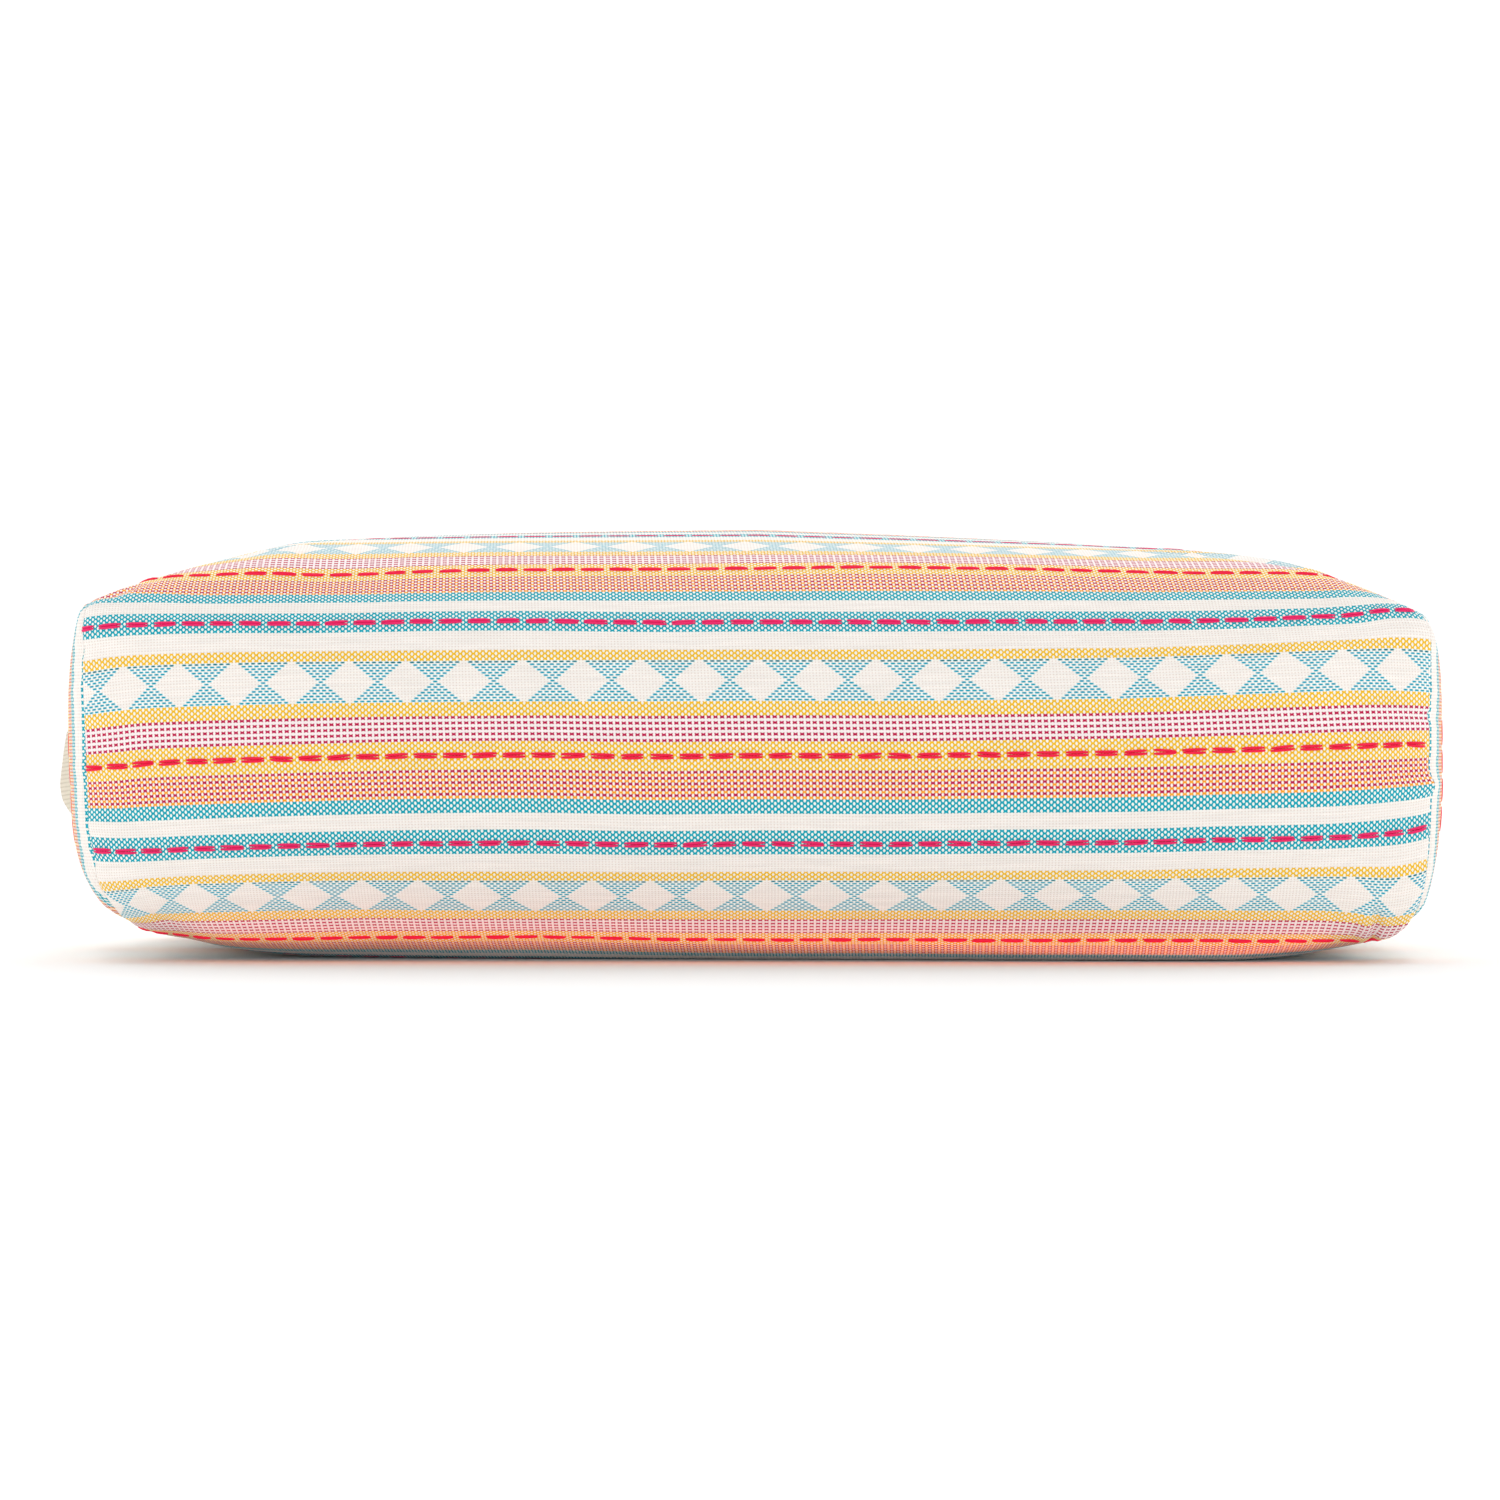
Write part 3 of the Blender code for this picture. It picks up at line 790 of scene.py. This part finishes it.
# Striped dobby weave from the thread counts: white warp ends show as ovals between coloured picks,
# crimson picks lie between lighter ones in two bands, and blue dashes form hourglasses
def wovenStripes():
    group = bpy.data.node_groups.new("striped dobby weave", "ShaderNodeTree")
    for label, way, kind in (("Threads", "INPUT", "Vector"), ("Colour", "OUTPUT", "Color"),
                             ("Height", "OUTPUT", "Float")):
        group.interface.new_socket(label, in_out=way, socket_type="NodeSocket" + kind)
    n = Nodes(group)
    threads = n.add("NodeGroupInput").outputs[0]
    end, pick = n.split(threads)[:2]
    uneven = n.noise(threads, weave["yarnScale"], 1.0, -weave["uneven"], weave["uneven"])
    middle = n.minus(pick, 0.5)
    fromEnd = n.math("PINGPONG", end, 1.0)
    fromPick = n.math("PINGPONG", middle, 1.0)
    fromEndOdd, fromPickOdd = (n.minus(1.0, value) for value in (fromEnd, fromPick))

    # squared distances to the nearer of two crossings, in ovals of this half width and height
    def ovals(first, second, wide, tall):
        squares = [n.plus(n.math("POWER", n.over(a, wide), 2.0), n.math("POWER", n.over(b, tall), 2.0))
                   for a, b in (first, second)]
        return n.plus(n.math("MINIMUM", *squares), uneven)

    warpOval = ovals((fromEnd, fromPickOdd), (fromEndOdd, fromPick), *weave["oval"])
    weftOval = ovals((fromEnd, fromPick), (fromEndOdd, fromPickOdd), *weave["dashOval"])
    showWarp = n.span(warpOval, *weave["ovalEdge"], 1.0, 0.0)
    showDash = n.span(weftOval, *weave["dashEdge"], 1.0, 0.0)
    showHalo = n.span(weftOval, *weave["haloEdge"], 1.0, 0.0)
    # bands, as one ramp of colours and one of marks
    repeat = float(cloth["repeat"])
    inRepeat = n.math("FLOORED_MODULO", pick, repeat)
    place = n.over(inRepeat, repeat)
    ramps = []
    for values in ([weave[colour] for _, colour, _ in weave["bands"]],
                   [(*marks, 1.0) for _, _, marks in weave["bands"]]):
        ramp = n.add("ShaderNodeValToRGB")
        ramp.color_ramp.interpolation = "CONSTANT"
        stops = ramp.color_ramp.elements
        while len(stops) < len(values):
            stops.new(0.5)
        for stop, band, value in zip(stops, weave["bands"], values):
            stop.position = band[0] / repeat
            stop.color = value
        ramps.append(n.feed(ramp, {0: place}))
    onEven, onOdd, diamonds = n.split(ramps[1], "Color")[:3]
    odd = n.math("FLOORED_MODULO", n.math("FLOOR", pick), 2.0)
    even = n.minus(1.0, odd)
    crimson = n.plus(n.times(onEven, even), n.times(onOdd, odd))
    weft = n.mix(crimson, ramps[0], weave["crimson"])
    # the edge of a white thread takes up some of the colour beside it
    lightened = n.feed(n.add("ShaderNodeGamma"), {0: weft, 1: weave["tintPower"]})
    tint = n.mix(1.0, lightened, weave["warp"], "MULTIPLY")
    tint = n.mix(n.span(showWarp, 0.5, 1.0), tint, weave["warp"])
    colour = n.mix(n.span(showWarp, 0.0, 0.5), weft, tint)
    # hourglasses of blue dashes between white diamonds
    fromCentre = n.math("PINGPONG", n.minus(end, weave["centreEnd"]), weave["centreEnd"])
    row = n.size(n.minus(n.math("FLOOR", inRepeat), weave["centrePick"]))
    inside = n.math("LESS_THAN", fromCentre, n.plus(row, weave["waist"]))
    inside = n.times(diamonds, inside)
    colour = n.mix(n.times(inside, showHalo), colour, weave["halo"])
    dash = n.mix(n.math("LESS_THAN", inRepeat, 1.0), weave["diamond"], weave["firstRow"])
    colour = n.mix(n.times(inside, showDash), colour, dash)
    # painted shade in the gaps between the threads, and fine streaks along the picks
    gap = n.span(n.times(n.bumps(end), n.bumps(middle)), 0.55, 1.0)
    colour = n.mix(n.times(gap, weave["gapShadeShare"]), colour, weave["gapShade"], "MULTIPLY")
    stretch = (1.0 / weave["streakLength"], 1.0, 1.0)
    stretched = n.feed(n.add("ShaderNodeMapping"), {0: threads, "Scale": stretch})
    tone = n.noise(stretched, 1.0, 2.0, *weave["streaks"])
    shade = n.feed(n.add("ShaderNodeCombineColor"), {0: tone, 1: tone, 2: tone})
    colour = n.mix(1.0, colour, shade, "MULTIPLY")
    height = n.math("MAXIMUM", n.span(warpOval, 0.0, 1.3, 1.0, 0.2), n.span(weftOval, 0.0, 1.3, 0.8, 0.2))
    height = n.times(height, n.minus(1.0, n.times(gap, 0.6)))
    n.feed(n.add("NodeGroupOutput"), {0: colour, 1: height})
    return group


# A new material with its node tree and its shader, which the values are set on by the inputs' names
def newMaterial(name, values):
    material = bpy.data.materials.new(name)
    material.use_nodes = True
    shader = material.node_tree.nodes["Principled BSDF"]
    for key, value in values.items():
        shader.inputs[key].default_value = value
    return material, Nodes(material.node_tree), shader


# Feeds a colour and the bumps of a height to a shader
def dress(n, shader, colour, height, strength, distance):
    bump = n.feed(n.add("ShaderNodeBump"), {"Strength": strength, "Distance": distance, "Height": height})
    n.feed(shader, {"Base Color": colour, "Normal": bump})


def clothMaterial():
    material, n, shader = newMaterial("striped cloth", {
        "Roughness": 0.92, "Specular IOR Level": 0.2, "Sheen Weight": 0.12, "Sheen Roughness": 0.5})
    pattern = n.add("ShaderNodeGroup", node_tree=wovenStripes())
    n.feed(pattern, {0: n.add("ShaderNodeUVMap", uv_map="threads").outputs[0]})
    dress(n, shader, *pattern.outputs[:2], *weave["bump"])
    return material


def webbingMaterial():
    material, n, shader = newMaterial("cream webbing", {"Roughness": 0.85})
    along, across = n.split(n.add("ShaderNodeUVMap", uv_map="threads").outputs[0])[:2]
    rib = n.bumps(n.over(across, handle["ribs"]))
    step = n.bumps(n.over(along, handle["steps"]))
    height = n.plus(rib, n.times(step, 0.4))
    # rib and pick tones from these colours, which carry painted shade
    colour = n.mix(n.span(height, 0.2, 1.1), *handle["web"])
    # a box of stitches near each end of the strap
    boxLength, boxWidth = handle["boxHalf"]
    fromBox = n.over(n.minus(n.size(along), handle["boxPlace"]), boxLength)
    fromBox = n.math("MAXIMUM", n.size(fromBox), n.size(n.over(across, boxWidth)))
    line = n.span(n.size(n.minus(fromBox, 1.0)), *handle["boxLine"], 1.0, 0.0)
    run = n.math("PINGPONG", n.plus(along, across), handle["stitch"] / 2.0)
    line = n.times(line, n.span(run, *(handle["stitch"] * share for share in handle["stitchEnd"])))
    dress(n, shader, n.mix(line, colour, handle["thread"]), height, *handle["bump"])
    return material


# Grid places and thread counts turned round: for any end and pick, where on the wrap it lies
class ClothFinder:
    def __init__(self, grid):
        self.points, self.picks = grid["points"], grid["picks"]
        self.normals = gridNormals(self.points)
        self.places = grid["along"] * halfLength
        self.dashes = tableValue(dashPlaces, self.places * 1000.0)
        self.rows = np.arange(len(self.places), dtype=float)
        self.table = np.arange(math.ceil(self.picks.min()), math.floor(self.picks.max()) + 1.0)
        columns = np.arange(self.picks.shape[1], dtype=float)
        self.columnOf = np.stack([np.interp(self.table, row, columns) for row in self.picks])

    # bilinear look-up of an array at fractional rows and columns
    @staticmethod
    def lookUp(array, row, column):
        i = np.clip(row.astype(int), 0, array.shape[0] - 2)
        j = np.clip(column.astype(int), 0, array.shape[1] - 2)
        u, v = row - i, column - j
        if array.ndim == 3:
            u, v = u[..., None], v[..., None]
        return (array[i, j] * (1 - u) * (1 - v) + array[i + 1, j] * u * (1 - v)
                + array[i, j + 1] * (1 - u) * v + array[i + 1, j + 1] * u * v)

    # the row at which an end crosses a pick, found by steps as the fan depends on the place
    def row(self, ends, picks):
        even = ends + cloth["lean"] * (picks - cloth["leanLine"]) - cloth["dashOffset"]
        fan = 0.0
        for _ in range(5):
            row = np.interp((even - fan) / cloth["dashEnds"] + cloth["firstDash"], self.dashes, self.rows)
            fan = fanShift(np.interp(row, self.rows, self.places), picks)
        return row

    def at(self, ends, picks):
        row = self.row(ends, picks)
        column = self.lookUp(self.columnOf, row, picks - self.table[0])
        return self.lookUp(self.points, row, column), unit(self.lookUp(self.normals, row, column))


# The same for an end panel, from the formula of its dome
class PanelFinder:
    def __init__(self, side):
        self.side = side
        self.depth, self.course = domeCourse(side)
        self.dashHeight = domes["dashHeights"][int(side > 0)]

    def at(self, ends, picks):
        z = self.dashHeight + (ends - cloth["dashOffset"]) * cloth["end"]
        y = np.interp((firstPick(self.side, z) - picks) * cloth["pick"], self.course, self.depth)
        d = 0.0005
        fallY = (domeReach(self.side, y - d, z) - domeReach(self.side, y + d, z)) / (2.0 * d)
        fallZ = (domeReach(self.side, y, z - d) - domeReach(self.side, y, z + d)) / (2.0 * d)
        normals = unit(np.stack((np.full(y.shape, self.side), fallY, fallZ), axis=-1))
        return np.stack((self.side * domeReach(self.side, y, z), y, z), axis=-1), normals


# Rows for the raised dashes at some ends on one pick: end and pick of the middle of each, its tone
# and its share of the height
def dashRows(ends, pick, tone, raised):
    return np.stack(np.broadcast_arrays(ends, pick, float(tone), raised), axis=1)


def wrapDashes(finder):
    rows = []
    lowest, highest = finder.table[0] + 3, finder.table[-1] - 3
    for tone, line in enumerate(cloth["dashLines"]):
        picks = line + cloth["repeat"] * np.arange(-12.0, 13.0)
        for pick in picks[(picks > lowest) & (picks < highest)]:
            edges = warpEnds(finder.dashes[[0, -1]], finder.places[[0, -1]], pick)
            first, last = (edges - cloth["dashOffset"]) / cloth["dashEnds"]
            numbers = np.arange(math.ceil(first), math.floor(last) + 1)
            ends = cloth["dashOffset"] + numbers * cloth["dashEnds"]
            place = np.interp(finder.row(ends, pick), finder.rows, finder.places)
            height, start, stop = cloth["lowLines"].get(pick, cloth["everywhere"])
            raised = np.where((place > start) & (place < stop), height, cloth["flatRise"])
            rows.append(dashRows(ends, pick, tone, raised))
    return np.concatenate(rows)


def panelDashes(finder):
    _, crown, base, _, _ = seamOutline(finder.side)
    numbers = np.arange(-8.0, 9.0)
    ends = cloth["dashOffset"] + numbers * cloth["dashEnds"]
    z = finder.dashHeight + numbers * cloth["dashEnds"] * cloth["end"]
    low, high = domes["raisedHeights"]
    raised = domes["dashRise"][int(finder.side > 0)]
    raised = raised * np.where((low < z) & (z < high), 1.0, domes["flatShare"])
    clear, tallest = domes["dashClear"]
    fits = np.abs(z - fullest) / np.where(z > fullest, crown, base) < tallest
    rows = []
    for tone, line in enumerate(cloth["dashLines"]):
        for pick in line + cloth["repeat"] * np.arange(-3.0, 1.0):
            run = (firstPick(finder.side, z) - pick) * cloth["pick"]
            inside = fits & (run > finder.course[0] + clear) & (run < finder.course[-1] - clear)
            rows.append(dashRows(ends, pick - domes["dashSetBack"], tone, raised)[inside])
    return np.concatenate(rows)


floats = {
    "length": 7.35,  # warp ends that a dash lies over
    "strands": 2,
    "strandWide": 0.55,  # half width of a strand, in picks
    "strandHigh": 0.00060,
    "lying": 0.55,  # how much of the height lies over the strand's middle line
    "sunk": 0.0001,
    "apart": (0.80, 0.25),  # picks from strand to strand, and what is added where they are thick
    "roundness": (5, 0.3),  # powers of the outline of a strand
    "lengthJitter": 0.14,
    "tiltJitter": 0.10,
    "heightJitter": 0.12,
    "sides": 5,
    "rings": (-0.95, -0.5, 0.0, 0.5, 0.95),  # places of the rings of a strand from its middle
    "tones": (linear(246, 22, 70), linear(240, 32, 106)),
}


# Raised dashes of thick thread: each strand is a spindle, round in section and pointed at its ends,
# that lies on the cloth. All of them are worked out as one array, whose axes are the dash, the strand,
# the place along it and the side of its section.
def makeFloats(name, finder, centres, seed):
    random = np.random.default_rng(seed)
    count, strands, sides = len(centres), floats["strands"], floats["sides"]
    end, pick, _, raised = (column[:, None, None, None] for column in centres.T)
    t = np.array((-1.0, *floats["rings"], 1.0))[:, None]
    rings = len(t) - 2
    bluntness, fineness = floats["roundness"]
    girth = np.where(np.abs(t) < 1.0, (1.0 - np.abs(t) ** bluntness) ** fineness, 0.0)
    turn = np.arange(sides) / sides * 2.0 * math.pi
    offset = (np.arange(strands) - (strands - 1) / 2.0)[:, None, None]
    jitter = random.normal(0.0, 1.0, (count, strands, 3))[:, :, :, None, None]
    tilt = random.normal(0.0, 1.0, (count, 1, 1, 1))
    reach = floats["length"] / 2.0 + floats["lengthJitter"] * jitter[:, :, 0]
    along = end + t * reach + np.zeros(sides)
    apart, spread = floats["apart"]
    across = pick + offset * (apart + spread * girth)
    across = across + floats["tiltJitter"] * (jitter[:, :, 1] + tilt) * t
    across = across + floats["strandWide"] * girth * np.cos(turn)
    lift = raised * floats["strandHigh"] * girth * (np.sin(turn) + floats["lying"])
    lift = lift * (1.0 + floats["heightJitter"] * jitter[:, :, 2]) - floats["sunk"]
    points, normals = finder.at(along, across)
    points = points + normals * lift[..., None]
    points[..., 2] = np.maximum(points[..., 2], 0.0)
    # one closed spindle: rings between two poles
    ring = closeRound(np.arange(rings * sides).reshape(rings, sides) + 1)
    last = rings * sides + 1
    poles = np.array([(0, b, a) for a, b in zip(ring[0], ring[0, 1:])]
                     + [(last, a, b) for a, b in zip(ring[-1], ring[-1, 1:])])
    inner = points[:, :, 1:-1].reshape(count * strands, rings * sides, 3)
    tips = points[:, :, [0, -1]].mean(axis=3).reshape(count * strands, 2, 3)
    vertices = np.concatenate((tips[:, :1], inner, tips[:, 1:]), axis=1).reshape(-1, 3)
    shift = (np.arange(count * strands) * (last + 1))[:, None, None]
    quads, triangles = ((part + shift).reshape(-1, part.shape[1]).tolist()
                        for part in (gridQuads(ring), poles))
    mesh = bpy.data.meshes.new(name)
    mesh.from_pydata(vertices.tolist(), [], quads + triangles)
    mesh.shade_smooth()
    tone = mesh.attributes.new("tone", "FLOAT", "POINT")
    tone.data.foreach_set("value", np.repeat(centres[:, 2], strands * (last + 1)).astype(np.float32))
    mesh.update()
    return addObject(name, mesh)


def floatMaterial():
    material, n, shader = newMaterial("raised dash thread", {"Roughness": 0.7, "Specular IOR Level": 0.3})
    tone = n.add("ShaderNodeAttribute", attribute_name="tone").outputs["Fac"]
    n.feed(shader, {"Base Color": n.mix(tone, *floats["tones"])})
    return material


studio = {
    "floor": 30.0,  # half its width
    "floorLevel": -0.0003,  # just below the cushion's flat patch
    "strength": 1.06,  # of the white world
    "back": 1.6,  # what it gains high up at the back, and loses high up in front
    "front": 0.80,  # what it gains near the level in front
    "softbox": {"size": (4.0, 3.0), "power": 4.5, "place": (0.0, 1.3, 2.2)},
    "endLight": {"size": (0.3, 0.6), "power": 0.3, "spread": 50.0},
    "endPlace": (0.62, 0.0, 0.90),
    "glow": {"size": (0.52, 0.028), "power": 0.0205, "place": (0.0, -0.142, 0.0012),
             "colour": (1.0, 0.40, 0.36)},
    "lens": 93.6,
    "eye": (-0.0040, -1.905, 0.0964),
}


# A rectangular light that faces down, its spread in degrees
def addLight(name, size, power, place, spread=180.0, colour=(1.0, 1.0, 1.0)):
    light = bpy.data.lights.new(name, "AREA")
    light.shape = "RECTANGLE"
    light.size, light.size_y = size
    light.energy = power
    light.spread = math.radians(spread)
    light.color = colour
    lamp = addObject(name, light)
    lamp.location = place
    return lamp


def makeFloor():
    half, level = studio["floor"], studio["floorLevel"]
    mesh = bpy.data.meshes.new("studio_floor")
    corners = [(-half, -half, level), (half, -half, level), (half, half, level), (-half, half, level)]
    mesh.from_pydata(corners, [], [(0, 1, 2, 3)])
    floor = addObject("studio_floor", mesh)
    material = newMaterial("studio floor", {
        "Base Color": (0.97, 0.97, 0.97, 1.0), "Roughness": 1.0, "Specular IOR Level": 0.0})[0]
    mesh.materials.append(material)
    return floor


# White world: brighter high up at the back, dimmer high up in front, a little more near the level there
def makeWorld():
    world = bpy.data.worlds.new("studio")
    world.use_nodes = True
    n = Nodes(world.node_tree)
    _, back, up = n.split(n.add("ShaderNodeTexCoord").outputs["Generated"])
    height = n.math("MAXIMUM", up, 0.0)
    strength = n.math("MULTIPLY_ADD", n.times(back, height), studio["back"], studio["strength"])
    front = n.math("MAXIMUM", n.times(back, -1.0), 0.0)
    level = n.times(front, n.minus(1.0, height))
    strength = n.math("MULTIPLY_ADD", level, studio["front"], strength)
    background = world.node_tree.nodes["Background"]
    n.put(background.inputs[1], strength)
    background.inputs[0].default_value = (1.0, 1.0, 1.0, 1.0)
    bpy.context.scene.world = world


def makeStage():
    floor = makeFloor()
    makeWorld()
    addLight("overhead softbox", **studio["softbox"])
    # narrow lights past either end keep the floor white there, and light nothing else
    floorOnly = bpy.data.collections.new("floor only")
    floorOnly.objects.link(floor)
    out, y, z = studio["endPlace"]
    for sign, label in ((-1.0, "left"), (1.0, "right")):
        beside = addLight("end light " + label, place=(sign * out, y, z), **studio["endLight"])
        beside.light_linking.receiver_collection = floorOnly
    # the light that bounces between the floor and the bands above it, facing up
    glow = addLight("warm glow below", **studio["glow"])
    glow.rotation_euler = (math.radians(180.0), 0.0, 0.0)
    glow.visible_camera = False
    view = bpy.context.scene.view_settings
    view.view_transform = "Standard"
    view.look = "None"
    camera = bpy.data.cameras.new("photo view")
    camera.lens = studio["lens"]
    camera.sensor_width = 36.0
    eye = addObject("photo view", camera)
    eye.location = studio["eye"]
    eye.rotation_euler = (math.radians(90.0), 0.0, 0.0)
    bpy.context.scene.camera = eye


makeStage()
print("stage ready")
stripedCloth = clothMaterial()
cushionPiece, clothGrid = makeCushion()
cushionPiece.data.materials.append(stripedCloth)
print("cushion", len(cushionPiece.data.polygons), "faces")
for sideSign in (-1.0, 1.0):
    panel = makeEndPanel(sideSign, clothGrid)
    panel.data.materials.append(stripedCloth)
print("end panels ready")
dashThread = floatMaterial()
for pieceName, slot, finder, layOut, seed in (
        ("wrap_dashes", "wrap_cloth", ClothFinder(clothGrid), wrapDashes, 11),
        ("end_dashes_left", "end_cloth", PanelFinder(-1.0), panelDashes, 12),
        ("end_dashes_right", "end_cloth", PanelFinder(1.0), panelDashes, 13)):
    centres = layOut(finder)
    dashPiece = makeFloats(pieceName, finder, centres, seed)
    dashPiece.data.materials.append(dashThread)
    ride(dashPiece)
    print(pieceName, len(centres))
strapPiece = makeHandle()
strapPiece.data.materials.append(webbingMaterial())
print("handle ready")
